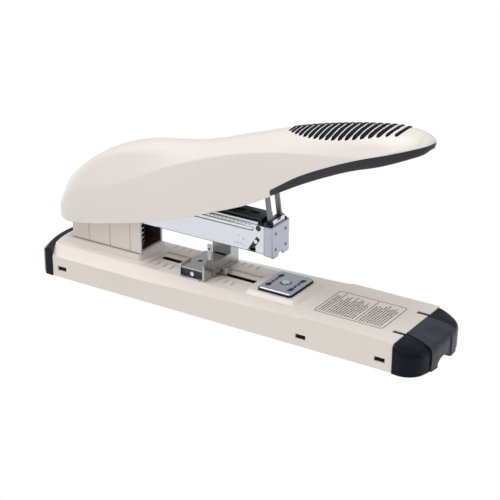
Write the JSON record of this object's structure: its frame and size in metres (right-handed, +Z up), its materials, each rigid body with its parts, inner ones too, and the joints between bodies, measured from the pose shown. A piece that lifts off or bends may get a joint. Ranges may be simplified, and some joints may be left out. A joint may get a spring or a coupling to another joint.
{
  "type": "stapler",
  "caption": "Heavy-duty desk stapler: long cream base, pivoted plated staple head and a large curved lever handle with a ribbed grip, sliding paper guide and turning anvil.",
  "frame": {"origin": "middle of the anti-slip pad under the base, on the desk", "axes": "+X along the base towards the stapling end, +Z up, square to the desk"},
  "size_m": [0.288, 0.0628, 0.1397],
  "materials": {
    "painted_steel": "satin",
    "cream_plastic": "satin",
    "dark_plastic": "satin",
    "rubber": "matte",
    "plated_steel": "satin",
    "link_steel": "satin",
    "bright_steel": "polished",
    "black_steel": "satin",
    "spring_steel": "satin"
  },
  "bodies": {
    "base": {"base_shell": "painted_steel", "base_bottom_plate": "dark_plastic", "base_pad": "rubber", "base_screws": "bright_steel", "rear_end_cap": "dark_plastic", "front_end_cap": "dark_plastic", "anvil_tray": "dark_plastic", "anvil_rivet": "bright_steel", "pillar_bracket": "painted_steel", "pillar_rivets": "bright_steel", "main_pivot_pin": "bright_steel", "head_washers": "bright_steel", "lever_washers": "bright_steel", "head_lift_spring": "spring_steel"},
    "head": {"head_housing": "plated_steel", "head_front_plate": "plated_steel", "front_plate_rivets": "bright_steel", "head_top_cover": "black_steel", "magazine_channel": "plated_steel", "latch_studs": "bright_steel", "staple_core": "plated_steel", "pusher_rod": "bright_steel", "pusher_spring": "spring_steel", "handle_return_spring": "spring_steel"},
    "pusher": {"staple_pusher": "plated_steel"},
    "handle": {"handle_lever": "plated_steel", "lever_pin": "bright_steel", "link_spacers": "bright_steel", "handle_cover": "cream_plastic", "handle_trim": "dark_plastic", "cover_screws": "bright_steel", "grip_ribs": "rubber"},
    "links": {"link_near": "link_steel", "link_far": "link_steel"},
    "driver": {"driver_blade": "bright_steel", "driver_carrier": "bright_steel", "driver_pin": "bright_steel"},
    "guide": {"guide_carriage": "plated_steel", "guide_stop_plate": "plated_steel", "guide_strip": "black_steel", "guide_screw": "bright_steel", "guide_clamp": "plated_steel"},
    "anvil": {"anvil_plate": "plated_steel"}
  },
  "joints": [
    {"name": "head_tilt", "type": "hinge", "parent": "base", "child": "head", "pos_m": [-0.112, 0, 0.06], "axis": [0, 1, 0], "range_deg": [0, 7.2], "stiffness_Nm_per_rad": 8, "springref_deg": -8.59, "deforming": ["head_lift_spring"]},
    {"name": "handle_press", "type": "hinge", "parent": "head", "child": "handle", "pos_m": [-0.112, 0, 0.06], "axis": [0, 1, 0], "range_deg": [0, 8.3], "stiffness_Nm_per_rad": 6, "springref_deg": -11.46, "deforming": ["handle_return_spring"]},
    {"name": "driver_slide", "type": "slide", "parent": "head", "child": "driver", "axis": [0, 0, -1], "range_m": [0, 0.01956]},
    {"name": "link_swing", "type": "hinge", "parent": "handle", "child": "links", "pos_m": [0.0187, 0, 0.0915], "axis": [0, 1, 0], "range_deg": [-1.82, 0.1]},
    {"name": "pusher_slide", "type": "slide", "parent": "head", "child": "pusher", "axis": [-1, 0, 0], "range_m": [0, 0.085], "stiffness_N_per_m": 20, "springref_m": -0.06, "deforming": ["pusher_spring"]},
    {"name": "guide_slide", "type": "slide", "parent": "base", "child": "guide", "axis": [1, 0, 0], "range_m": [-0.024, 0.018]},
    {"name": "anvil_turn", "type": "hinge", "parent": "base", "child": "anvil", "pos_m": [0.0306, 0, 0.0245], "axis": [0, 0, 1], "range_deg": [0, 180]}
  ],
  "couplings": [
    {"joint": "driver_slide", "follows": "handle_press", "m_per_rad": 0.13436},
    {"joint": "link_swing", "follows": "handle_press", "ratio": -0.2069}
  ]
}
